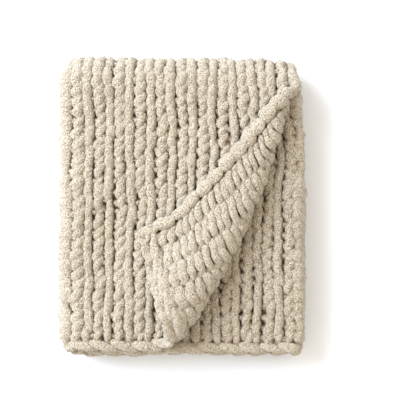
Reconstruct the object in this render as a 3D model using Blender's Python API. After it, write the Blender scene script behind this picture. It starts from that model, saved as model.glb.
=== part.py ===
"""Chunky knit throw, folded and laid flat, with one corner of its top layer turned back.

The throw is one knitted panel. It is folded in three across its width and then once along its
length, so it lies in six layers, a little apart:

    left fold                     right fold
       ______________________________ selvedge      top layer, face up
      /   ___________________________                middle layer
      |  /___________________________)
      \\______________________________/               bottom layer of the three

and the same three again below, joined to these around the far end (+Y). The near right corner
of the top layer is turned back over a roll that opens out towards the near edge.

Metres, +Z up, +Y towards the end fold. The underside is flat on Z = 0.
"""
import bpy
import numpy as np

# ---------------------------------------------------------------- driving sizes
THICK = 0.0190          # knitted cloth, pressed by its own weight
AIR = 0.0015            # between two layers
PITCH = THICK + AIR
WIDTH = 0.507           # folded size across
DEPTH = 0.631           # folded size along
SELVEDGE_INSET = 0.0035  # the top layer's selvedge stops short of the right fold
INNER_INSET = 0.0030    # the middle layer's selvedge stops short of the left fold
ROW = 0.0213            # one knitted row
ROWS_UPPER = 26.0       # rows from the near edge up to the end fold
ROWS_ROUND = 7.5        # rows that go round the end fold
ROWS_LOWER = 26.5       # rows of the lower half

# near edges of the layers, which step out a little going down
# layer of the three (0 bottom, 1 middle, 2 top), near edge upper half, near edge lower half
NEAR_EDGES = np.array([
    (0.0, -0.318, -0.322),
    (1.0, -0.312, -0.320),
    (2.0, -0.305, -0.317),
])

# the turned corner, a row for each section from the near edge to the end fold:
# y of the knitted row, x where it lifts, radius of the roll, heading of the row in the flap
# (degrees from +X), stretch of the row in the flap
TURN = np.array([
    (-0.310, -0.0768, 0.0325, 105.8, 0.92),
    (-0.215, 0.0010, 0.0270, 108.0, 1.00),
    (-0.104, 0.0700, 0.0200, 111.0, 1.14),
    (0.043, 0.1405, 0.0138, 112.0, 1.28),
    (0.155, 0.1785, 0.0130, 112.0, 1.20),
    (0.230, 0.2105, 0.0120, 112.0, 1.00),
    (0.290, 0.2500, 0.0300, 112.0, 1.00),
])
ROLL_LEAN = 28.35       # degrees the roll's axis leans off the Y axis
SETTLE = 0.130          # length over which the flap comes down from the roll onto the layer

# how far the outline stands out from a plain rectangle
# sides: y, left side, right side
SIDES = np.array([
    (-0.318, -0.0010, 0.0000),
    (-0.236, -0.0010, 0.0010),
    (0.000, 0.0010, 0.0000),
    (0.120, 0.0000, -0.0010),
    (0.226, 0.0010, -0.0085),
    (0.318, -0.0040, -0.0110),
])
# ends: x, near end, far end
ENDS = np.array([
    (-0.256, 0.0000, -0.0010),
    (-0.190, 0.0010, -0.0015),
    (-0.110, 0.0040, -0.0040),
    (0.020, 0.0010, -0.0045),
    (0.120, 0.0010, -0.0040),
    (0.216, 0.0000, -0.0065),
    (0.256, 0.0000, -0.0080),
])
# rounded corners: side (-1 left, 1 right), end (-1 near, 1 far), radius
CORNERS = ((1.0, 1.0, 0.030), (-1.0, 1.0, 0.022), (-1.0, -1.0, 0.020))

# how the layers sway on each other: swing, waves per metre along x and y, and phase
UNEVEN_SIDE = (0.0015, 1.7, 0.6)
UNEVEN_END = (0.0015, 2.1, 2.2)
UNEVEN_TOP = ((0.030, 2.3, 1.4, 0.4), (0.022, 3.9, 3.1, 1.9))

# mesh divisions
CELLS = {"middle": 5, "right fold": 5, "bottom": 5, "left fold": 6, "top": 8, "roll": 9, "flap": 6}
ROWS_OF_CELLS = {"near": 10, "corner start": 11, "round": 8, "lower": 9}
CORNER_START = 0.150    # length of wale with closer cells, up to where the corner starts to turn
EDGE_ROUND = 0.006      # depth of the rounded free edges
EDGE_THIN = 0.55        # how thin the cloth is at the very edge
CLOSER_POWER = 1.5      # how fast the cells get closer towards the start of the corner
PAST_LIFT = 0.050       # least length of cloth between the lift's line and the selvedge
PAST_CREST = 0.013      # least length of cloth between the roll's line and the selvedge
SHARP_ANGLE = 50.0      # degrees; only the rims of the free edges are shaded sharp
STEP = 2e-5             # step along the cloth over which its slope is taken
FLAT_BELOW = 1e-5       # heights under this are the flat underside

# ---------------------------------------------------------------- sizes that follow
X_LEFT = -WIDTH / 2 + PITCH + THICK / 2          # where the left fold starts
X_RIGHT = WIDTH / 2 - PITCH / 2 - THICK / 2      # where the right fold starts
X_SELVEDGE = WIDTH / 2 - SELVEDGE_INSET
Y_ROUND = DEPTH / 2 - 2.5 * PITCH - THICK / 2    # where the end fold starts
Z_ROUND = 2.5 * PITCH + THICK / 2                # height of the end fold's centre
R_ROUND = 2.5 * PITCH                            # radius of the top layer in the end fold

X_INNER = X_LEFT + INNER_INSET                   # free selvedge of the middle layer
U_MIDDLE = X_RIGHT - X_INNER
U_RIGHT = U_MIDDLE + np.pi * PITCH / 2
U_BOTTOM = U_RIGHT + X_RIGHT - X_LEFT
U_LEFT = U_BOTTOM + np.pi * PITCH
U_TOP = U_LEFT + X_SELVEDGE - X_LEFT
V_UPPER = ROWS_UPPER * ROW
V_ROUND = V_UPPER + ROWS_ROUND * ROW
V_LOWER = V_ROUND + ROWS_LOWER * ROW
V_TURN = V_UPPER + (TURN[-1, 0] - Y_ROUND) / (np.pi * R_ROUND) * (V_ROUND - V_UPPER)

LEAN = np.radians(ROLL_LEAN)
ALONG = np.array([-np.sin(LEAN), -np.cos(LEAN)])  # along the roll, towards the near edge
ACROSS = np.array([np.cos(LEAN), -np.sin(LEAN)])  # square to the roll, towards the right


def ease(t):
    """A soft step from 0 to 1."""
    t = np.clip(t, 0.0, 1.0)
    return t * t * (3.0 - 2.0 * t)


def curve(table, x, column):
    """A column of a table at x, by a smooth curve that never swings past the table's values."""
    at = table[:, 0]
    value = table[:, column]
    gap = np.diff(at)
    rise = np.diff(value) / gap
    slope = np.zeros(len(at))
    slope[0] = rise[0]
    slope[-1] = rise[-1]
    for k in range(1, len(at) - 1):
        if rise[k - 1] * rise[k] > 0.0:
            a = 2.0 * gap[k] + gap[k - 1]
            b = gap[k] + 2.0 * gap[k - 1]
            slope[k] = (a + b) / (a / rise[k - 1] + b / rise[k])
    x = np.clip(x, at[0], at[-1])
    k = np.clip(np.searchsorted(at, x) - 1, 0, len(gap) - 1)
    t = (x - at[k]) / gap[k]
    start = (1.0 + 2.0 * t) * (1.0 - t) ** 2 * value[k] + t * (1.0 - t) ** 2 * gap[k] * slope[k]
    end = t * t * (3.0 - 2.0 * t) * value[k + 1] + t * t * (t - 1.0) * gap[k] * slope[k + 1]
    return start + end


def fold_across(u):
    """The fold in three: x and height of the cloth at the distance u along a knitted row."""
    x = X_INNER + u
    h = np.full_like(u, PITCH)
    a = (u - U_MIDDLE) / (PITCH / 2)
    x = np.where(u > U_MIDDLE, X_RIGHT + PITCH / 2 * np.sin(a), x)
    h = np.where(u > U_MIDDLE, PITCH / 2 + PITCH / 2 * np.cos(a), h)
    x = np.where(u > U_RIGHT, X_RIGHT - (u - U_RIGHT), x)
    h = np.where(u > U_RIGHT, 0.0, h)
    a = (u - U_BOTTOM) / PITCH
    x = np.where(u > U_BOTTOM, X_LEFT - PITCH * np.sin(a), x)
    h = np.where(u > U_BOTTOM, PITCH - PITCH * np.cos(a), h)
    x = np.where(u > U_LEFT, X_LEFT + (u - U_LEFT), x)
    h = np.where(u > U_LEFT, 2.0 * PITCH, h)
    return x, h


def fold_along(v, h):
    """The fold in half: y and z at the distance v along the wales, for a layer at height h."""
    upper = np.interp(h / PITCH, NEAR_EDGES[:, 0], NEAR_EDGES[:, 1])
    lower = np.interp(h / PITCH, NEAR_EDGES[:, 0], NEAR_EDGES[:, 2])
    r = PITCH / 2 + h
    a = np.pi * np.clip((v - V_UPPER) / (V_ROUND - V_UPPER), 0.0, 1.0)
    y = Y_ROUND + r * np.sin(a)
    z = Z_ROUND + r * np.cos(a)
    y = np.where(v < V_UPPER, upper + (Y_ROUND - upper) * v / V_UPPER, y)
    y = np.where(v > V_ROUND, Y_ROUND + (lower - Y_ROUND) * (v - V_ROUND) / (V_LOWER - V_ROUND), y)
    return y, z


def along_top(v):
    """Distance along the top layer, laid out flat, for the distance v along the wales."""
    upper = NEAR_EDGES[-1, 1]
    round_end = R_ROUND * np.pi * np.clip((v - V_UPPER) / (V_ROUND - V_UPPER), 0.0, 1.0)
    return np.where(v < V_UPPER, upper + (Y_ROUND - upper) * v / V_UPPER, Y_ROUND + round_end)


def turn_back(x, s):
    """The turned corner: past its lift a row climbs half round the roll, then runs back in the flap.

    This is worked out with the top layer laid out flat, and then bent round the end fold.
    """
    past = x - curve(TURN, s, 1)
    radius = curve(TURN, s, 2)
    heading = np.radians(curve(TURN, s, 3))
    stretch = curve(TURN, s, 4)
    flap_across = -(np.cos(heading) * ACROSS[0] + np.sin(heading) * ACROSS[1])
    flap_along = np.cos(heading) * ALONG[0] + np.sin(heading) * ALONG[1]
    half_turn = np.pi * radius / ACROSS[0]
    on_roll = np.clip(past, 0.0, half_turn)
    in_flap = np.clip(past - half_turn, 0.0, None)
    a = np.pi * on_roll / half_turn
    across = radius * np.sin(a) - flap_across * stretch * in_flap
    along = ALONG[0] * on_roll + (flap_along - ALONG[0]) * on_roll ** 2 / (2.0 * half_turn)
    along = along + flap_along * stretch * in_flap
    up = radius * (1.0 - np.cos(a)) - (2.0 * radius - PITCH) * ease(in_flap / SETTLE)
    x = x - np.clip(past, 0.0, None) + across * ACROSS[0] + along * ALONG[0]
    s = s + across * ACROSS[1] + along * ALONG[1]
    bend = np.clip((s - Y_ROUND) / R_ROUND, 0.0, None)
    y = np.minimum(s, Y_ROUND) + (R_ROUND + up) * np.sin(bend)
    return x, y, Z_ROUND + (R_ROUND + up) * np.cos(bend), past > 0.0


def middle_surface(u, v):
    """The middle of the cloth where it lies, as an array of points."""
    u, v = np.broadcast_arrays(u, v)
    x, h = fold_across(u)
    y, z = fold_along(v, h)
    tx, ty, tz, lifted = turn_back(x, along_top(v))
    turned = (u > U_LEFT) & lifted
    x = np.where(turned, tx, x)
    y = np.where(turned, ty, y)
    z = np.where(turned, tz, z)
    return np.stack([x, y, z], axis=-1)


def face_normal(u, v):
    """Unit normal of the middle surface, out of the knit's face side."""
    along_row = middle_surface(u + STEP, v) - middle_surface(u - STEP, v)
    along_wale = middle_surface(u, v + STEP) - middle_surface(u, v - STEP)
    n = np.cross(along_row, along_wale)
    return n / np.linalg.norm(n, axis=-1, keepdims=True)


def uneven_outline(x, y):
    """Moves the sides and ends by their tables, less towards the middle, and rounds the corners.

    A corner's square, with a and b from 0 to 1 across it, becomes a quarter of a disc.
    """
    i = x / (WIDTH / 2)
    j = y / (DEPTH / 2)
    side_move = np.where(i > 0.0, curve(SIDES, y, 2), -curve(SIDES, y, 1)) * i * i
    end_move = np.where(j > 0.0, curve(ENDS, x, 2), -curve(ENDS, x, 1)) * j * j
    x = x + side_move
    y = y + end_move
    for side, end, radius in CORNERS:
        a = np.clip((side * x - WIDTH / 2) / radius + 1.0, 0.0, 1.2)
        b = np.clip((end * y - DEPTH / 2) / radius + 1.0, 0.0, 1.2)
        x = x - side * radius * a * (1.0 - np.sqrt(1.0 - b * b / 2.0))
        y = y - end * radius * b * (1.0 - np.sqrt(1.0 - a * a / 2.0))
    return x, y


def slump(p):
    """The pile's unevenness: its outline, and a soft swaying that grows with height.

    The underside stays flat.
    """
    x, y = uneven_outline(p[..., 0], p[..., 1])
    z = p[..., 2]
    lift = z / (6.0 * PITCH)
    swing, waves, phase = UNEVEN_SIDE
    side = swing * np.sin(2.0 * np.pi * waves * y + phase) * lift
    swing, waves, phase = UNEVEN_END
    end = swing * np.sin(2.0 * np.pi * waves * x + phase) * lift
    top = np.ones_like(z)
    for swing, across, along, phase in UNEVEN_TOP:
        top = top + swing * np.sin(2.0 * np.pi * across * x + phase) * np.cos(2.0 * np.pi * along * y + phase)
    return np.stack([x + side, y + end, z * top], axis=-1)


def spread(start, stop, cells):
    """Cell edges from start up to, and not including, stop."""
    return start + (stop - start) * np.arange(cells) / cells


def row_lines(s):
    """Where the mesh lines cross one knitted row: they follow the lift and the roll as these lean."""
    lift = U_LEFT + float(curve(TURN, s, 1)) - X_LEFT
    half_turn = np.pi * float(curve(TURN, s, 2)) / ACROSS[0]
    lift = min(lift, U_TOP - PAST_LIFT)
    crest = min(lift + half_turn, U_TOP - PAST_CREST)
    return np.concatenate([
        [0.0],
        spread(EDGE_ROUND, U_MIDDLE, CELLS["middle"]),
        spread(U_MIDDLE, U_RIGHT, CELLS["right fold"]),
        spread(U_RIGHT, U_BOTTOM, CELLS["bottom"]),
        spread(U_BOTTOM, U_LEFT, CELLS["left fold"]),
        spread(U_LEFT, lift, CELLS["top"]),
        spread(lift, crest, CELLS["roll"]),
        spread(crest, U_TOP - EDGE_ROUND, CELLS["flap"]),
        [U_TOP - EDGE_ROUND, U_TOP],
    ])


def wale_lines():
    """Where the mesh lines cross the wales, closer where the corner starts to turn."""
    closer = ROWS_OF_CELLS["corner start"]
    return np.concatenate([
        [0.0],
        spread(EDGE_ROUND, V_TURN - CORNER_START, ROWS_OF_CELLS["near"]),
        V_TURN - CORNER_START * (1.0 - np.arange(closer) / closer) ** CLOSER_POWER,
        spread(V_TURN, V_ROUND, ROWS_OF_CELLS["round"]),
        spread(V_ROUND, V_LOWER - EDGE_ROUND, ROWS_OF_CELLS["lower"]),
        [V_LOWER - EDGE_ROUND, V_LOWER],
    ])


def cloth_points():
    """Both faces of the cloth on the grid of lines, face side first."""
    v = wale_lines()
    u = np.stack([row_lines(s) for s in along_top(v)])
    v = np.repeat(v[:, None], u.shape[1], axis=1)
    half = np.full(u.shape, THICK / 2)
    half[:, [0, -1]] *= EDGE_THIN
    half[[0, -1], :] *= EDGE_THIN
    n = face_normal(u, v)
    m = middle_surface(u, v)
    face = slump(m + n * half[..., None])
    back = slump(m - n * half[..., None])
    return face, back


def build_blanket(name):
    """One closed solid: face, back, and the strip that joins them around the free edges."""
    face, back = cloth_points()
    both = np.concatenate([face.reshape(-1, 3), back.reshape(-1, 3)])
    low = both.min(axis=0)
    high = both.max(axis=0)
    both[:, :2] -= (low[:2] + high[:2]) / 2
    both[:, 2] = np.where(both[:, 2] < FLAT_BELOW, 0.0, both[:, 2])
    rows, lines = face.shape[:2]
    other = rows * lines

    def at(j, i):
        return j * lines + i

    quads = []
    for j in range(rows - 1):
        for i in range(lines - 1):
            ring = (at(j, i), at(j, i + 1), at(j + 1, i + 1), at(j + 1, i))
            quads.append(ring)
            quads.append(tuple(other + k for k in reversed(ring)))
    rim = [at(0, i) for i in range(lines - 1)]
    rim += [at(j, lines - 1) for j in range(rows - 1)]
    rim += [at(rows - 1, i) for i in range(lines - 1, 0, -1)]
    rim += [at(j, 0) for j in range(rows - 1, 0, -1)]
    for k, a in enumerate(rim):
        b = rim[(k + 1) % len(rim)]
        quads.append((b, a, other + a, other + b))

    mesh = bpy.data.meshes.new(name)
    mesh.from_pydata(both.tolist(), [], quads)
    mesh.update()
    mesh.shade_smooth()
    mesh.set_sharp_from_angle(angle=np.radians(SHARP_ANGLE))
    obj = bpy.data.objects.new(name, mesh)
    bpy.context.scene.collection.objects.link(obj)
    return obj


def chenille(name, colour):
    """Matt, soft chenille yarn."""
    material = bpy.data.materials.new(name)
    material.use_nodes = True
    shader = material.node_tree.nodes["Principled BSDF"]
    shader.inputs["Base Color"].default_value = (*colour, 1.0)
    shader.inputs["Roughness"].default_value = 0.95
    shader.inputs["Metallic"].default_value = 0.0
    return material


for old in list(bpy.data.objects):
    bpy.data.objects.remove(old, do_unlink=True)

blanket = build_blanket("blanket")
blanket.data.materials.append(chenille("oatmeal chenille", (0.640, 0.560, 0.430)))
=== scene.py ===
import bpy
import numpy as np
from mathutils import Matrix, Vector


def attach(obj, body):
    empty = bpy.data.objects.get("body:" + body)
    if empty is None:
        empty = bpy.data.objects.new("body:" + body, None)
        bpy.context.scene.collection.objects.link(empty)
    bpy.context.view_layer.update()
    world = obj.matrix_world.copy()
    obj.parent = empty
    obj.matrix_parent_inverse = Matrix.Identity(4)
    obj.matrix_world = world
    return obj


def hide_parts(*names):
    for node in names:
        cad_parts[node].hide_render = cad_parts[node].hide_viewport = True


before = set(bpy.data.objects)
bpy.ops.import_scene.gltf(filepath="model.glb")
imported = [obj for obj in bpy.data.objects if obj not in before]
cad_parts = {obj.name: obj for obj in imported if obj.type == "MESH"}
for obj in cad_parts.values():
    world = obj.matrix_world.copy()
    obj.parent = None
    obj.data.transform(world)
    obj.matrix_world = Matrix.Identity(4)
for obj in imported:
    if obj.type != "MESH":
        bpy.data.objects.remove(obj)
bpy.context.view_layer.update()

# ---------------------------------------------------------------------------------------------
# The knitted cloth, and how it lies. One panel, knitted in one piece from jumbo chenille yarn,
# folded in three across and once along, with the near right corner of its top layer turned back.
# The thin sheet made here, in painted shade, is the middle of the cloth; the yarn is laid on it afterwards.
# ---------------------------------------------------------------------------------------------
THICK = 0.0190               # the cloth, pressed by its own weight
PITCH = 0.0205               # from the middle of one layer to the next
WIDTH, DEPTH = 0.507, 0.631  # folded size across and along
ROW = 0.0213                 # one knitted row
SELVEDGE_INSET = 0.0035      # the top layer's selvedge stops short of the right fold
INNER_INSET = 0.003          # the middle layer's selvedge stops short of the left fold
SETTLE = 0.130               # length over which the flap comes down from the roll onto the layer

# where the folds lie: v counts along the wales, u along a row, from the inner selvedge
V_UPPER, V_ROUND, V_LOWER = 26.0 * ROW, 33.5 * ROW, 60.0 * ROW
X_LEFT = -WIDTH / 2 + PITCH + THICK / 2
X_RIGHT = WIDTH / 2 - PITCH / 2 - THICK / 2
X_SELVEDGE = WIDTH / 2 - SELVEDGE_INSET
Y_ROUND = DEPTH / 2 - 2.5 * PITCH - THICK / 2
Z_ROUND = 2.5 * PITCH + THICK / 2
X_INNER = X_LEFT + INNER_INSET
U_MIDDLE = X_RIGHT - X_INNER
U_RIGHT = U_MIDDLE + np.pi * PITCH / 2
U_BOTTOM = U_RIGHT + X_RIGHT - X_LEFT
U_LEFT = U_BOTTOM + np.pi * PITCH
U_TOP = U_LEFT + X_SELVEDGE - X_LEFT

# near edges: layer of the three, upper half, lower half
NEAR_EDGES = np.array([
    (0.0, -0.318, -0.322),
    (1.0, -0.312, -0.320),
    (2.0, -0.305, -0.317),
])
# turned corner: y of the row, x of its lift, radius of the roll, heading in the flap, stretch
TURN = np.array([
    (-0.310, -0.0768, 0.0325, 105.8, 0.92),
    (-0.215, 0.0010, 0.0270, 108.0, 1.00),
    (-0.104, 0.0700, 0.0200, 111.0, 1.14),
    (0.043, 0.1405, 0.0138, 112.0, 1.28),
    (0.155, 0.1785, 0.0130, 112.0, 1.20),
    (0.230, 0.2105, 0.0120, 112.0, 1.00),
    (0.290, 0.2500, 0.0300, 112.0, 1.00),
])
# how far the outline stands out from a plain rectangle: left and right sides by y
SIDES = np.array([
    (-0.318, -0.0010, 0.0000),
    (-0.236, -0.0010, 0.0010),
    (0.000, 0.0010, 0.0000),
    (0.120, 0.0000, -0.0010),
    (0.226, 0.0010, -0.0085),
    (0.318, -0.0040, -0.0110),
])
# the same for the near and far ends, by x
ENDS = np.array([
    (-0.256, 0.0000, -0.0010),
    (-0.190, 0.0010, -0.0015),
    (-0.110, 0.0040, -0.0040),
    (0.020, 0.0010, -0.0045),
    (0.120, 0.0010, -0.0040),
    (0.216, 0.0000, -0.0065),
    (0.256, 0.0000, -0.0080),
])
# rounded corners of the outline: side, end, radius; PAST is how far outside its square one reaches
CORNERS = ((1.0, 1.0, 0.030), (-1.0, 1.0, 0.022), (-1.0, -1.0, 0.020))
PAST = 1.2
# how the layers sway on each other: swing, waves per metre, phase; and the same along x and y
UNEVEN_SIDE = (0.0015, 1.7, 0.6)
UNEVEN_END = (0.0015, 2.1, 2.2)
UNEVEN_TOP = ((0.030, 2.3, 1.4, 0.4), (0.022, 3.9, 3.1, 1.9))
# the roll's axis leans off the Y axis; unit steps along it and square to it
LEAN = np.radians(28.35)
ALONG = (-np.sin(LEAN), -np.cos(LEAN))
ACROSS = (np.cos(LEAN), -np.sin(LEAN))


def ease(t):
    """Soft step: 3t^2 - 2t^3, held at 0 and 1 outside."""
    t = np.clip(t, 0.0, 1.0)
    return t * t * (3.0 - 2.0 * t)


def curve(table, x, column):
    """A column of a table at x, by cubic pieces. The slope at a row of the table is the weighted harmonic
    mean of the rises beside it, or level where they change sign, so the curve never swings past."""
    at, value = table[:, 0], table[:, column]
    gap = np.diff(at)
    rise = np.diff(value) / gap
    a, b = 2.0 * gap[1:] + gap[:-1], gap[1:] + 2.0 * gap[:-1]
    same = rise[1:] * rise[:-1] > 0.0
    safe = np.where(same, rise[:-1], 1.0), np.where(same, rise[1:], 1.0)
    inner = np.where(same, (a + b) / (a / safe[0] + b / safe[1]), 0.0)
    slope = np.concatenate([rise[:1], inner, rise[-1:]])
    x = np.clip(x, at[0], at[-1])
    k = np.clip(np.searchsorted(at, x) - 1, 0, len(gap) - 1)
    t = (x - at[k]) / gap[k]
    return ((1 + 2 * t) * (1 - t) ** 2 * value[k] + t * (1 - t) ** 2 * gap[k] * slope[k]
            + t * t * (3 - 2 * t) * value[k + 1] + t * t * (t - 1) * gap[k] * slope[k + 1])


def middle_surface(u, v):
    """Where the middle of the cloth lies, at u along a row and v along the wales.

    Across: straight runs joined by a half circle of radius one pitch (left) and half a pitch (right).
    Along: the near edge up to the end fold, a half circle whose radius grows with the layer, and back.
    Corner: past its lift a row climbs half round the roll, up by radius (1 - cos b), then runs straight
    back in the flap, where its height falls by a soft step to one pitch. All of it is worked out flat,
    with s along the layer, and then bent round the end fold.
    """
    a = (u - U_MIDDLE) / (PITCH / 2)
    c = (u - U_BOTTOM) / PITCH
    runs = [u > U_LEFT, u > U_BOTTOM, u > U_RIGHT, u > U_MIDDLE]
    x = np.select(runs, [X_LEFT + u - U_LEFT, X_LEFT - PITCH * np.sin(c), X_RIGHT - u + U_RIGHT,
                         X_RIGHT + PITCH / 2 * np.sin(a)], X_INNER + u)
    h = np.select(runs, [2 * PITCH + 0 * u, PITCH - PITCH * np.cos(c), 0 * u,
                         PITCH / 2 + PITCH / 2 * np.cos(a)], PITCH)
    upper = np.interp(h / PITCH, NEAR_EDGES[:, 0], NEAR_EDGES[:, 1])
    lower = np.interp(h / PITCH, NEAR_EDGES[:, 0], NEAR_EDGES[:, 2])
    r = PITCH / 2 + h
    turn = np.pi * np.clip((v - V_UPPER) / (V_ROUND - V_UPPER), 0.0, 1.0)
    y = np.select([v < V_UPPER, v > V_ROUND],
                  [upper + (Y_ROUND - upper) * v / V_UPPER,
                   Y_ROUND + (lower - Y_ROUND) * (v - V_ROUND) / (V_LOWER - V_ROUND)],
                  Y_ROUND + r * np.sin(turn))
    z = Z_ROUND + r * np.cos(turn)

    r = 2.5 * PITCH
    s = np.where(v < V_UPPER, y, Y_ROUND + r * turn)
    past = x - curve(TURN, s, 1)
    radius, heading, stretch = curve(TURN, s, 2), np.radians(curve(TURN, s, 3)), curve(TURN, s, 4)
    flap_across = -(np.cos(heading) * ACROSS[0] + np.sin(heading) * ACROSS[1])
    flap_along = np.cos(heading) * ALONG[0] + np.sin(heading) * ALONG[1]
    half_turn = np.pi * radius / ACROSS[0]
    on_roll = np.clip(past, 0.0, half_turn)
    in_flap = np.clip(past - half_turn, 0.0, None)
    b = np.pi * on_roll / half_turn
    across = radius * np.sin(b) - flap_across * stretch * in_flap
    along = ALONG[0] * on_roll + (flap_along - ALONG[0]) * on_roll ** 2 / (2.0 * half_turn)
    along = along + flap_along * stretch * in_flap
    up = radius * (1.0 - np.cos(b)) - (2.0 * radius - PITCH) * ease(in_flap / SETTLE)
    turned = (u > U_LEFT) & (past > 0.0)
    foot = x - np.clip(past, 0.0, None)
    s = s + across * ACROSS[1] + along * ALONG[1]
    bent = np.clip((s - Y_ROUND) / r, 0.0, None)
    return np.stack([np.where(turned, foot + across * ACROSS[0] + along * ALONG[0], x),
                     np.where(turned, np.minimum(s, Y_ROUND) + (r + up) * np.sin(bent), y),
                     np.where(turned, Z_ROUND + (r + up) * np.cos(bent), z)], axis=-1)


def slump(p):
    """Unevenness. The outline moves by its tables, weighted by the square of the way out from the
    middle. A corner's square of side radius becomes a quarter disc: a sqrt(1 - b^2 / 2) and
    b sqrt(1 - a^2 / 2). The pile sways by sines of place times height, and heights are multiplied by
    1 plus two products of sine and cosine, so the underside stays flat."""
    x, y, z = p[..., 0], p[..., 1], p[..., 2]
    i, j = x / (WIDTH / 2), y / (DEPTH / 2)
    x = x + np.where(i > 0, curve(SIDES, y, 2), -curve(SIDES, y, 1)) * i * i
    y = y + np.where(j > 0, curve(ENDS, p[..., 0], 2), -curve(ENDS, p[..., 0], 1)) * j * j
    for side, end, radius in CORNERS:
        a = np.clip((side * x - WIDTH / 2) / radius + 1.0, 0.0, PAST)
        b = np.clip((end * y - DEPTH / 2) / radius + 1.0, 0.0, PAST)
        x = x - side * radius * a * (1.0 - np.sqrt(1.0 - b * b / 2.0))
        y = y - end * radius * b * (1.0 - np.sqrt(1.0 - a * a / 2.0))
    lift = z / (6.0 * PITCH)
    swing, waves, phase = UNEVEN_SIDE
    side = swing * np.sin(2 * np.pi * waves * y + phase) * lift
    swing, waves, phase = UNEVEN_END
    end = swing * np.sin(2 * np.pi * waves * x + phase) * lift
    top = 1.0
    for swing, along_x, along_y, phase in UNEVEN_TOP:
        top = top + swing * np.sin(2 * np.pi * along_x * x + phase) * np.cos(2 * np.pi * along_y * y + phase)
    return np.stack([x + side, y + end, z * top], axis=-1)


STEP = 2e-5                  # step along the cloth over which its slope is taken
CENTRE = np.zeros(3)         # set below, once the outline is known


def on_cloth(u, v, n):
    """Places points given as (u, v) on the flat cloth and n out of its face: the middle plus n times the
    normal, made uneven, centred, and held at the floor's height where it would reach lower."""
    e = STEP
    across = middle_surface(u + e, v) - middle_surface(u - e, v)
    along = middle_surface(u, v + e) - middle_surface(u, v - e)
    normal = np.cross(across, along)
    normal /= np.maximum(np.linalg.norm(normal, axis=-1, keepdims=True), 1e-12)
    p = slump(middle_surface(u, v) + normal * n[..., None]) - CENTRE
    p[..., 2] = np.maximum(p[..., 2], 0.0)
    return p


# the plain cloth's outline, from both its faces, gives the centre that the part stands on
grid_u, grid_v = np.meshgrid(np.linspace(0.0, U_TOP, 400), np.linspace(0.0, V_LOWER, 300))
hull = np.concatenate([on_cloth(grid_u, grid_v, np.full(grid_u.shape, s * THICK / 2)).reshape(-1, 3)
                       for s in (-1.0, 1.0)])
CENTRE = np.array([*(hull.min(axis=0)[:2] + hull.max(axis=0)[:2]) / 2, 0.0])


def grid_quads(rows, cols, closed=False, copies=1):
    """Quads of grids of points that follow each other: each joins a point to the next one in its row and
    to the row after. In a closed grid the last point of a row is joined to the first."""
    i = np.arange(rows - 1)[:, None]
    j = np.arange(cols if closed else cols - 1)[None, :]
    k = (j + 1) % cols
    one = np.stack([i * cols + j, i * cols + k, (i + 1) * cols + k, (i + 1) * cols + j], axis=-1)
    return (np.arange(copies)[:, None, None] * rows * cols + one.reshape(-1, 4)).reshape(-1, 4)


def quads_mesh(name, points, quads, values=None):
    """Puts arrays of points and quads into a smooth mesh object, with named values at the points."""
    mesh = bpy.data.meshes.new(name)
    mesh.vertices.add(len(points))
    mesh.vertices.foreach_set("co", points.astype(np.float32).ravel())
    mesh.loops.add(quads.size)
    mesh.loops.foreach_set("vertex_index", quads.astype(np.int32).ravel())
    mesh.polygons.add(len(quads))
    mesh.polygons.foreach_set("loop_start", np.arange(0, quads.size, 4, dtype=np.int32))
    mesh.update(calc_edges=True)
    mesh.validate()
    mesh.shade_smooth()
    for key, value in (values or {}).items():
        layer = mesh.attributes.new(key, "FLOAT", "POINT")
        layer.data.foreach_set("value", value.astype(np.float32).ravel())
    obj = bpy.data.objects.new(name, mesh)
    bpy.context.scene.collection.objects.link(obj)
    return obj


GROUND_INSET = 0.004         # the sheet stops this far inside the chain edges
GROUND_CELLS = (110, 84)     # points along a row and along the wales
RIPPLE = 0.0008              # it ripples by this much, with waves of about a stitch
WAVE_ACROSS, WAVE_ALONG = 0.0438, 0.0426
ground_u, ground_v = np.meshgrid(np.linspace(GROUND_INSET, U_TOP - GROUND_INSET, GROUND_CELLS[0]),
                                 np.linspace(GROUND_INSET, V_LOWER - GROUND_INSET, GROUND_CELLS[1]))
ripple = RIPPLE * np.sin(2 * np.pi * ground_u / WAVE_ACROSS) * np.sin(2 * np.pi * ground_v / WAVE_ALONG)
ground = quads_mesh("knit_ground", on_cloth(ground_u, ground_v, ripple).reshape(-1, 3),
                    grid_quads(GROUND_CELLS[1], GROUND_CELLS[0]))

# painted shade: the sheet is coloured near-black brown to stand for the shade in the holes between stitches
shade = bpy.data.materials.new("shaded yarn inside the knit")
shade.use_nodes = True
n, link = shade.node_tree.nodes, shade.node_tree.links
bsdf = n["Principled BSDF"]
where = n.new("ShaderNodeTexCoord")
fibre = n.new("ShaderNodeTexNoise")
fibre.inputs["Scale"].default_value = 90.0
fibre.inputs["Detail"].default_value = 3.0
tone = n.new("ShaderNodeValToRGB")
tone.color_ramp.elements[0].position = 0.3
tone.color_ramp.elements[0].color = (0.030, 0.019, 0.010, 1.0)
tone.color_ramp.elements[1].position = 0.75
tone.color_ramp.elements[1].color = (0.160, 0.108, 0.062, 1.0)
relief = n.new("ShaderNodeBump")
relief.inputs["Strength"].default_value = 0.6
relief.inputs["Distance"].default_value = 0.002
link.new(where.outputs["Object"], fibre.inputs["Vector"])
link.new(fibre.outputs["Fac"], tone.inputs["Fac"])
link.new(tone.outputs["Color"], bsdf.inputs["Base Color"])
link.new(fibre.outputs["Fac"], relief.inputs["Height"])
link.new(relief.outputs["Normal"], bsdf.inputs["Normal"])
bsdf.inputs["Roughness"].default_value = 1.0
bsdf.inputs["Specular IOR Level"].default_value = 0.1
ground.data.materials.append(shade)
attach(ground, "root")
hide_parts("blanket")

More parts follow.
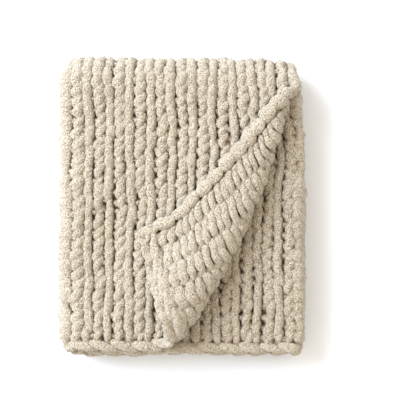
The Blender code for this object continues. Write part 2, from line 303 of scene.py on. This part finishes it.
# ---------------------------------------------------------------------------------------------
# The rows of stitches, in jumbo chenille yarn. Each row is one run of yarn that rises and falls
# through the loops of the row before: its legs stand on the face and its arcs lie behind, so the
# back shows rows of bumps.
# ---------------------------------------------------------------------------------------------
WALES, ROWS = 34, 59
WALE = U_TOP / WALES
FIRST_ROW = 0.0110           # the first row is drawn up against the chain
EDGE = 0.0090                # and the middle of its yarn stays this far from the end
LAST = WALES - 0.47          # rows end under the outer selvedge's chain

# the path of the yarn through a stitch
LOOP = 0.87 * ROW            # half the height of a loop
FLATNESS = 0.13              # share of the third harmonic that flattens the arcs
LEG_LEAN = 0.155 * WALE      # how far a loop opens out towards its head
PAIRING = 0.012 * WALE       # the two legs of a stitch crowd together
TWIST = 0.15                 # the yarn's twist leans every loop to one side by this slope
UNEVEN_TWIST, TWIST_WAVE = 0.7, 0.26   # by this share more here and less there, in waves so long
TWIST_PHASE = 3.0            # whose phases are the wander's times this
LEG_RISE = 0.0052            # legs stand this far in front of the middle, arcs behind
HEAD_BACK = 0.0006           # heads of the loops lie this much further back, feet further forward
LEG_TILT = 0.0040            # the lower part of each leg lies over the upper part of the one below
SWAY = ((0.0016, 0.31), (0.0012, 0.17), (0.0008, 0.083))   # each wale wanders so far, in waves so long
STILL, UPRIGHT = 2.0, 1.5    # wales from a selvedge over which the wander and the lean set in
TIGHT, TIGHT_OVER = 0.008, 0.016       # the ends are knit tight this far past EDGE, easing over this
TIGHT_RISE, TIGHT_FAT = 0.45, 0.72     # there it keeps this share of its rise and of its girth
DRAWN = 0.060                # over this length into the end fold the rows sink in
END_DRAWN, SIDE_DRAWN = 0.0048, 0.0018   # by this much, and by this much round the left fold

# the girth of the yarn
YARN_WIDE, YARN_THICK = 0.0098, 0.0100   # half its width and half its thickness
FULLER = 0.90                # power that makes the yarn's oval section squarer
BEAD = 0.13                  # legs and arcs are this much plumper in the middle, and thinner between
DROP = 0.10                  # the lower half of each leg is plumper by about this much
OUTER_FACE = 1.8             # the pile fills out with the cloth's stretch at this many times its height
MOST_FULL = 1.45             # and to this many times its girth at most
# PALER takes some of the painted crease shade off the yarn round the folds
FILLED = 0.14                # round the end fold the pile stands open and is this much fuller
PALER = 0.16                 # and its creases are this much paler
SIDE_SHARE = 0.55            # round the side fold this share of both
LUMP, LUMPS = 0.055, 12      # the pile stands uneven by lumps of this size, so many to a stitch
FUZZ = 0.060                 # and by single tufts of this size
WAIST = 0.25                 # a leg is squeezed this much where it crosses the rows next to it
WAIST_AT, WAIST_LONG = 0.45, 0.17      # where |cos p| in the path is the first, over the second
SLANT = 0.38                 # the waist slants round the yarn, along its twist, by this angle
SQUEEZE = 0.42               # arcs are this much narrower on the face side
BACK_FULL = 0.12             # and this much wider on the back
RUNG = 0.35                  # and reach this much further out on the face, into the gap between wales
END_RING = 0.05              # a row tapers to this share of its girth at both ends

# how deep in the knit each point of the yarn lies, a mask of painted crease shade: 0 inside, 1 outside
FACE_DEEP, BACK_DEEP = 0.0120, 0.0082  # distance from the cloth's middle that counts as 1
ARC_TONE = 0.45              # the rungs between two wales are paler by this much
SIDE_TONE, OUTER_TONE = 0.30, 1.1      # the yarn's sides are deep, and its front and back are not
CREASE = 0.22                # a waist is this much deeper
chance = np.random.default_rng(557)


def drift(values, t):
    """Random values joined by soft steps, read at t: each whole number of t is one value."""
    k = np.floor(t).astype(int)
    f = ease(t - k)
    k = np.clip(k, 0, values.shape[-1] - 2)
    rows = np.arange(values.shape[0])[:, None]
    return values[rows, k] * (1 - f) + values[rows, k + 1] * f


# chances of each leg: how far it lies to the side, along the wale and outwards, its girth, and how
# far the two of a stitch stand apart; then the phases of each wale's wander
SIDE_SIZE, SLIP_SIZE, OUT_SIZE, FAT_SIZE, APART_SIZE = 0.0013, 0.0022, 0.0007, 0.070, 0.0011
HALF = 2 * WALES + 6
leg_side = chance.normal(0.0, SIDE_SIZE, (ROWS, HALF))
leg_slip = chance.normal(0.0, SLIP_SIZE, (ROWS, HALF))
leg_out = chance.normal(0.0, OUT_SIZE, (ROWS, HALF))
leg_fat = 1.0 + chance.normal(0.0, FAT_SIZE, (ROWS, HALF))
spread_out = np.abs(chance.normal(0.0, APART_SIZE, (ROWS, HALF)))
wander = chance.uniform(0, 2 * np.pi, (len(SWAY), WALES + 3))


STRETCH_STEP, LEAST = 2e-4, 1e-3       # step along the cloth, and the least stretch that is divided by


def stretch(u, v, n):
    """How much wider than flat cloth the cloth is at (u, v, n), square to the wales and square to the rows:
    the area of the patch between two short steps, over the length of the other step."""
    e = STRETCH_STEP
    across = (on_cloth(u + e, v, n) - on_cloth(u - e, v, n)) / (2 * e)
    along = (on_cloth(u, v + e, n) - on_cloth(u, v - e, n)) / (2 * e)
    area = np.linalg.norm(np.cross(across, along), axis=-1)
    return (area / np.maximum(np.linalg.norm(along, axis=-1), LEAST),
            area / np.maximum(np.linalg.norm(across, axis=-1), LEAST))


def yarn_path(rows, t):
    """Rows of a plain knit, at t stitches along a row. With p = 2 pi (t - 1/2) the yarn is at
    u = t wales + lean sin 2p - pairing sin p - twist times the loop's swing, v = row - loop times the
    swing, and n = - rise cos 2p + (head back + leg tilt sin^2 p) cos p. The swing is cos p less a share
    of cos 3p, over 1 less that share. Chances of each leg and a wander of each wale, a sum of sines of
    v, are added. The twist is uneven by a sine of v. Near the ends rise and girth are less, and in the
    folds n is drawn in. The girth is a chance of each leg, times 1 + bead cos 4p + drop cos p sin^2 p,
    times the cloth's stretch, times the fullness of the folds. Returns u, v, n, the girth, how much of
    a point is arc (1/2 + 1/2 cos 2p), and how much of it is fold."""
    p = 2 * np.pi * (t - 0.5)
    q = 2.0 * t + 0.5
    pick = lambda table: drift(table[rows[:, 0]], q + 0 * rows)
    swing = (np.cos(p) - FLATNESS * np.cos(3 * p)) / (1.0 - FLATNESS)
    v = np.maximum(FIRST_ROW + rows * ROW - LOOP * swing + pick(leg_slip), EDGE)
    wale = np.clip(t, 0, WALES)
    sway = sum(size * np.sin(2 * np.pi * v / wave + np.interp(wale, np.arange(WALES + 3), wander[i]))
               for i, (size, wave) in enumerate(SWAY))
    sway = sway * ease(t / STILL) * ease((WALES - t) / STILL)
    u = WALE * t + LEG_LEAN * np.sin(2 * p) - (PAIRING + pick(spread_out)) * np.sin(p) + pick(leg_side) + sway
    phase = np.interp(wale, np.arange(WALES + 3), TWIST_PHASE * wander[1])
    uneven = 1.0 + UNEVEN_TWIST * np.sin(2 * np.pi * v / TWIST_WAVE + phase)
    u = u - TWIST * uneven * LOOP * swing * ease(t / UPRIGHT) * ease((WALES - t) / UPRIGHT)
    open_knit = ease((np.minimum(v, V_LOWER - v) - EDGE - TIGHT) / TIGHT_OVER)
    tilt = (HEAD_BACK + LEG_TILT * np.sin(p) ** 2) * np.cos(p)
    n = (-LEG_RISE * np.cos(2 * p) + tilt + pick(leg_out)) * (TIGHT_RISE + (1 - TIGHT_RISE) * open_knit)
    end_fold = ease((v - V_UPPER) / DRAWN) * ease((V_ROUND - v) / DRAWN)
    side_fold = ease((u - U_BOTTOM) / PITCH) * ease((U_LEFT - u) / PITCH)
    n = n - np.maximum(END_DRAWN * end_fold, SIDE_DRAWN * side_fold)
    plump = 1.0 + BEAD * np.cos(4 * p) + DROP * np.cos(p) * np.sin(p) ** 2
    arc = 0.5 + 0.5 * np.cos(2 * p)
    across, along = stretch(u, v, OUTER_FACE * n)
    spare = np.clip((1.0 - arc) * across + arc * along, 1.0, MOST_FULL)
    folded = np.maximum(ease((v - V_UPPER + DRAWN) / DRAWN) * ease((V_ROUND - v) / DRAWN),
                        SIDE_SHARE * ease((u - U_BOTTOM) / PITCH) * ease((U_LEFT + WALE - u) / WALE))
    fat = pick(leg_fat) * plump * spare * (1.0 + FILLED * folded) * (TIGHT_FAT + (1 - TIGHT_FAT) * open_knit)
    return u, v, n, fat, arc, folded


def rows_of_yarn(name, first_row, last_row, start, stop, steps, sides):
    """Carries an oval yarn along each row's path, from start to stop in stitches. At angle a its surface
    lies half its width times cos a to the side and half its thickness times sin a outwards, each to the
    power FULLER. Random lumps and tufts, and a waist where legs cross rows, change its girth; the waist
    fades out on the back. Arcs are narrower and reach further out on the face, and are wider on the back.
    A row tapers at both ends to a ring of END_RING of its girth, which isn't closed. The value "out", a mask
    of painted shade in the creases, is the distance from the cloth's middle over FACE_DEEP or BACK_DEEP, more
    on the face of arcs, at most SIDE_TONE + OUTER_TONE |sin a|, less at waists and more round the folds."""
    rows = np.arange(first_row, last_row)[:, None]
    count = int(round((stop - start) * steps)) + 1
    t = np.linspace(start, stop, count)[None, :]
    u, v, n, fat, arc, folded = yarn_path(rows, t)
    du, dv, dn = (np.gradient(q, axis=1) for q in (u, v, n))
    size = np.sqrt(du ** 2 + dv ** 2 + dn ** 2)
    tangent = np.stack([du, dv, dn], axis=-1) / size[..., None]
    side = np.cross(tangent, np.array([0.0, 0.0, 1.0]))
    side /= np.maximum(np.linalg.norm(side, axis=-1, keepdims=True), 1e-9)
    out = np.cross(side, tangent)
    a = 2 * np.pi * np.arange(sides) / sides
    lumps = chance.normal(0.0, LUMP, (len(rows), int((stop - start) * LUMPS) + 3))
    lump = drift(lumps, (t - start) * LUMPS + 0 * rows)
    fuzz = 1.0 + lump[..., None] + chance.normal(0.0, FUZZ, (len(rows), count, sides))
    slanted = 2 * np.pi * (t[..., None] - 0.5) - SLANT * np.cos(a)
    waist = np.exp(-((np.abs(np.cos(slanted)) - WAIST_AT) / WAIST_LONG) ** 2)
    waist = waist * ease(1.0 + np.sin(a))
    fuzz = fuzz * (1.0 - WAIST * waist)
    end = np.ones(count)
    end[[0, -1]] = END_RING
    face, back = np.maximum(np.sin(a), 0.0), np.maximum(-np.sin(a), 0.0)
    pinch = 1.0 - arc[..., None] * (SQUEEZE * face - BACK_FULL * back)
    wide = (YARN_WIDE * fat * end)[..., None] * np.sign(np.cos(a)) * np.abs(np.cos(a)) ** FULLER
    wide = wide * fuzz * pinch
    thick = (YARN_THICK * fat * end)[..., None] * np.sign(np.sin(a)) * np.abs(np.sin(a)) ** FULLER
    thick = thick * fuzz * (1.0 + RUNG * arc[..., None] * face)
    ring = (np.stack([u, v, n], axis=-1)[..., None, :] + wide[..., None] * side[..., None, :]
            + thick[..., None] * out[..., None, :])
    points = on_cloth(ring[..., 0], ring[..., 1], ring[..., 2])
    # painted shade: the value "out" is low, and the yarn browner, where it lies deep, at its sides and at
    # waists
    crease_shade_mask = np.abs(ring[..., 2]) / np.where(ring[..., 2] < 0, BACK_DEEP, FACE_DEEP)
    crease_shade_mask = np.minimum(crease_shade_mask + ARC_TONE * arc[..., None] * face, SIDE_TONE + OUTER_TONE * np.abs(np.sin(a)))
    crease_shade_mask = crease_shade_mask - CREASE * waist + PALER * folded[..., None]
    quads = grid_quads(count, sides, closed=True, copies=len(rows))
    return quads_mesh(name, points.reshape(-1, 3), quads, {"out": crease_shade_mask})


def chenille(name, light, dark):
    """Chenille: short fibres standing off a core, so matt, with fine nubs and a soft sheen. Its colour is
    a fine grain from dark to light, times slow patches, times a painted crease shade, a brown that deepens
    where "out" is low."""
    material = bpy.data.materials.new(name)
    material.use_nodes = True
    n, link = material.node_tree.nodes, material.node_tree.links
    bsdf = n["Principled BSDF"]
    where = n.new("ShaderNodeTexCoord")

    def noise(scale, detail, rough=0.6):
        tex = n.new("ShaderNodeTexNoise")
        tex.inputs["Scale"].default_value = scale
        tex.inputs["Detail"].default_value = detail
        tex.inputs["Roughness"].default_value = rough
        link.new(where.outputs["Object"], tex.inputs["Vector"])
        return tex.outputs["Fac"]

    def ramp(fac, low, high, at=(0.3, 0.7)):
        r = n.new("ShaderNodeValToRGB")
        r.color_ramp.elements[0].position, r.color_ramp.elements[1].position = at
        r.color_ramp.elements[0].color = (*low, 1.0)
        r.color_ramp.elements[1].color = (*high, 1.0)
        link.new(fac, r.inputs["Fac"])
        return r.outputs["Color"]

    def multiply(a, b):
        m = n.new("ShaderNodeMix")
        m.data_type, m.blend_type = "RGBA", "MULTIPLY"
        m.inputs["Factor"].default_value = 1.0
        link.new(a, m.inputs["A"])
        link.new(b, m.inputs["B"])
        return m.outputs["Result"]

    nubs = n.new("ShaderNodeTexVoronoi")
    nubs.inputs["Scale"].default_value = 230.0
    link.new(where.outputs["Object"], nubs.inputs["Vector"])
    grain = ramp(noise(460.0, 3.0, 0.68), dark, light, (0.39, 0.56))
    patches = ramp(noise(14.0, 2.0), (0.93, 0.92, 0.90), (1.0, 1.0, 1.0))
    # painted shade: this ramp browns the yarn where the crease mask "out" is low
    crease_shade_mask = n.new("ShaderNodeAttribute")
    crease_shade_mask.attribute_name = "out"
    inside = ramp(crease_shade_mask.outputs["Fac"], (0.085, 0.048, 0.022), (1.0, 1.0, 1.0), (0.35, 0.93))
    middle = inside.node.color_ramp.elements.new(0.62)
    middle.color = (0.63, 0.51, 0.375, 1.0)
    link.new(multiply(multiply(grain, patches), inside), bsdf.inputs["Base Color"])
    height = n.new("ShaderNodeMath")
    height.operation = "SUBTRACT"
    link.new(noise(420.0, 3.0, 0.7), height.inputs[0])
    link.new(nubs.outputs["Distance"], height.inputs[1])
    relief = n.new("ShaderNodeBump")
    relief.inputs["Strength"].default_value = 0.9
    relief.inputs["Distance"].default_value = 0.0034
    link.new(height.outputs[0], relief.inputs["Height"])
    link.new(relief.outputs["Normal"], bsdf.inputs["Normal"])
    bsdf.inputs["Roughness"].default_value = 0.95
    bsdf.inputs["Specular IOR Level"].default_value = 0.15
    bsdf.inputs["Sheen Weight"].default_value = 0.60
    bsdf.inputs["Sheen Roughness"].default_value = 0.6
    bsdf.inputs["Sheen Tint"].default_value = (1.0, 0.96, 0.88, 1.0)
    return material


oatmeal = chenille("oatmeal chenille", (0.596, 0.571, 0.492), (0.122, 0.083, 0.047))
SPLIT = U_BOTTOM / WALE - 0.5          # where the top layer's rows begin, just before the left fold
FIRST = U_RIGHT / WALE + 0.5           # where the middle layer's rows end, just past the right fold
# name, rows from and up to, stitches from and to, steps to a stitch, sides of the yarn
knit = [
    rows_of_yarn("knit_top_near", 0, 16, SPLIT, LAST, 24, 14),
    rows_of_yarn("knit_top_far", 16, 34, SPLIT, LAST, 24, 14),
    rows_of_yarn("knit_middle", 0, 33, 0, FIRST, 16, 10),
    rows_of_yarn("knit_under", 0, 33, FIRST, SPLIT, 10, 8),
    rows_of_yarn("knit_lower", 33, 59, 0, SPLIT, 12, 8),
    rows_of_yarn("knit_base", 34, 59, SPLIT, LAST, 12, 8),
]

# ---------------------------------------------------------------------------------------------
# The chain edges, in the same yarn. The cast-on and bind-off finish the ends in a row of fat
# links, one to a wale, and the slipped selvedges finish the sides with a link for every second
# row. They are knitted on, not sewn.
# ---------------------------------------------------------------------------------------------
TUCK, DIP = 0.0060, 0.0030   # a link's ends lie lower by TUCK, the far one by DIP more, the near one less
UNEVEN_REACH, UNEVEN_FULL, UNEVEN_PLACE = 0.05, 0.06, 0.06   # chances of length, girth and place
UNEVEN_TILT, UNEVEN_INWARD = 0.0010, 0.0008                  # of its slant, and of how far in it lies
LINK_FUZZ = 0.03             # and of single tufts
# painted shade: LOW_TONE darkens the chain edges near the floor, and OPEN_SIDE spares a chain's outer side
LOW_TONE, LOW_RISE = 0.78, 0.22        # the tone of the edges near the floor, and what it gains above
LOW_FROM, LOW_OVER = 0.030, 0.045      # from this height, over this much
OPEN_SIDE = 0.8              # the outer side of a chain lies this much open


def chain_edge(name, length, link_length, place, apart, tilt, rise, full, reach, steps=14, sides=12):
    """A plait: strands lie side by side, each a run of overlapping plump links. Strand b lies apart[b]
    inward and starts b / strands of a link further on. A link is a leaning lens: its radius is full times
    sqrt(1 - s^2) for s from -1 to 1 along it, inward = apart + tilt s, out = rise - TUCK s^2 - DIP s, so
    that one end is tucked under the next. place turns (along, inward, out) into (u, v, n). The value "out",
    a mask of painted shade, is SIDE_TONE + OUTER_TONE times the larger of |sin a| and the outer side's share,
    times a tone that rises softly with height, so the painted shade is darker near the floor."""
    count = int(round(length / link_length))
    link_length = length / count
    strands = len(apart)
    strand = np.repeat(np.arange(strands), count)[:, None, None]
    k = np.tile(np.arange(count), strands)[:, None, None] + strand / strands
    middle = np.asarray(apart)[strand]
    tilt, rise, full = (np.asarray(q)[strand] for q in (tilt, rise, full))
    count = count * strands
    s = np.linspace(-1, 1, steps)[None, :, None]
    a = (2 * np.pi * np.arange(sides) / sides)[None, None, :]
    jitter = chance.normal(0.0, 1.0, (5, count, 1, 1))
    reach = link_length * (reach + UNEVEN_REACH * jitter[0])
    radius = full * (1.0 + UNEVEN_FULL * jitter[1]) * np.sqrt(np.clip(1.0 - s * s, 0.0, 1.0))
    radius = radius * (1 + chance.normal(0, LINK_FUZZ, (count, steps, sides)))
    along = np.clip(link_length * (k + 0.5 + UNEVEN_PLACE * jitter[4]) + reach * s, 0.0, length) + 0 * a
    inward = middle + (tilt + UNEVEN_TILT * jitter[2]) * s + UNEVEN_INWARD * jitter[3] + radius * np.cos(a)
    out = rise - TUCK * s * s - DIP * s + radius * np.sin(a)
    points = on_cloth(*place(along, inward, out))
    # each quad runs the other way round than in the rows of yarn
    quads = grid_quads(steps, sides, closed=True, copies=count)[:, [0, 3, 2, 1]]
    # painted shade: edges near the floor are darker
    low = LOW_TONE + LOW_RISE * ease((points[..., 2] - LOW_FROM) / LOW_OVER)
    outer = np.maximum(np.abs(np.sin(a)), -OPEN_SIDE * np.cos(a))
    return quads_mesh(name, points.reshape(-1, 3), quads, {"out": (SIDE_TONE + OUTER_TONE * outer) * low})


# name, length, length of a link, its place; for each strand apart, tilt, rise and full; then how far
# half a link reaches, in links
knit += [
    chain_edge("bind_off", U_TOP, WALE, lambda a, i, o: (a, 0.0095 + i, o),
               (0.0000, 0.0165), (-0.0070, 0.0080), (0.0030, -0.0075), (0.0110, 0.0092), 0.80),
    chain_edge("cast_on", U_TOP, WALE, lambda a, i, o: (a, V_LOWER - 0.0130 - i, o),
               (0.0,), (-0.0060,), (0.0015,), (0.0102,), 0.75),
    chain_edge("outer_selvedge", V_LOWER, 2 * ROW, lambda a, i, o: (U_TOP - 0.0095 - i, a, o),
               (0.0,), (0.0030,), (-0.0042,), (0.0138,), 0.68),
    chain_edge("inner_selvedge", V_LOWER, 2 * ROW, lambda a, i, o: (0.006 + i, a, o),
               (0.0,), (0.0030,), (0.0030,), (0.0100,), 0.70, 8, 8),
]
for piece in knit:
    piece.data.materials.append(oatmeal)
    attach(piece, "root")

# ---------------------------------------------------------------------------------------------
# The place. A plain white floor under the folded throw, soft warm light from all round, one wide
# cool lamp from the far left, and a camera that looks straight down on it.
# ---------------------------------------------------------------------------------------------
FLOOR_HALF, FLOOR_DROP = 6.0, 0.0005   # half its side, and how far it lies under the throw
floor_mesh = bpy.data.meshes.new("floor")
floor_mesh.from_pydata([(-FLOOR_HALF, -FLOOR_HALF, 0), (FLOOR_HALF, -FLOOR_HALF, 0),
                        (FLOOR_HALF, FLOOR_HALF, 0), (-FLOOR_HALF, FLOOR_HALF, 0)], [], [(0, 1, 2, 3)])
floor = bpy.data.objects.new("floor", floor_mesh)
bpy.context.scene.collection.objects.link(floor)
floor.location.z = -FLOOR_DROP
white = bpy.data.materials.new("white floor")
white.use_nodes = True
white.node_tree.nodes["Principled BSDF"].inputs["Base Color"].default_value = (0.775, 0.855, 0.985, 1.0)
white.node_tree.nodes["Principled BSDF"].inputs["Roughness"].default_value = 0.9
floor_mesh.materials.append(white)

# the light from all round is weakest at the horizon and below it, and strongest from straight above
world = bpy.data.worlds.new("studio")
world.use_nodes = True
sky, link = world.node_tree.nodes, world.node_tree.links
sky["Background"].inputs["Color"].default_value = (1.0, 0.86, 0.69, 1.0)
facing = sky.new("ShaderNodeTexCoord")
split = sky.new("ShaderNodeSeparateXYZ")
dimming = sky.new("ShaderNodeMapRange")
dimming.inputs["To Min"].default_value = 0.80
dimming.inputs["To Max"].default_value = 1.46
link.new(facing.outputs["Generated"], split.inputs["Vector"])
link.new(split.outputs["Z"], dimming.inputs["Value"])
link.new(dimming.outputs["Result"], sky["Background"].inputs["Strength"])
bpy.context.scene.world = world

window_light = bpy.data.lights.new("window", "AREA")
window_light.size = 2.9
window_light.energy = 276.0
window_light.color = (0.955, 1.005, 1.090)
window = bpy.data.objects.new("window", window_light)
window.location = (-2.60, 1.60, 2.70)
window.rotation_euler = (-Vector(window.location)).to_track_quat("-Z", "Y").to_euler()
bpy.context.scene.collection.objects.link(window)

AIM = (0.0378, 0.01575, 0.122)         # the point looked at: the throw's flat top, right of its centre
HIGH = 3.0                   # the camera stands this far above it
FIELD = 0.84                 # and sees this much of it across
camera_data = bpy.data.cameras.new("above")
camera = bpy.data.objects.new("above", camera_data)
bpy.context.scene.collection.objects.link(camera)
camera.location = (AIM[0], AIM[1], AIM[2] + HIGH)
camera.rotation_euler = (0.0, 0.0, 0.0)
camera_data.sensor_width = 36.0
camera_data.lens = camera_data.sensor_width * HIGH / FIELD
camera_data.clip_end = 50.0
bpy.context.scene.camera = camera
bpy.context.scene.view_settings.view_transform = "Standard"
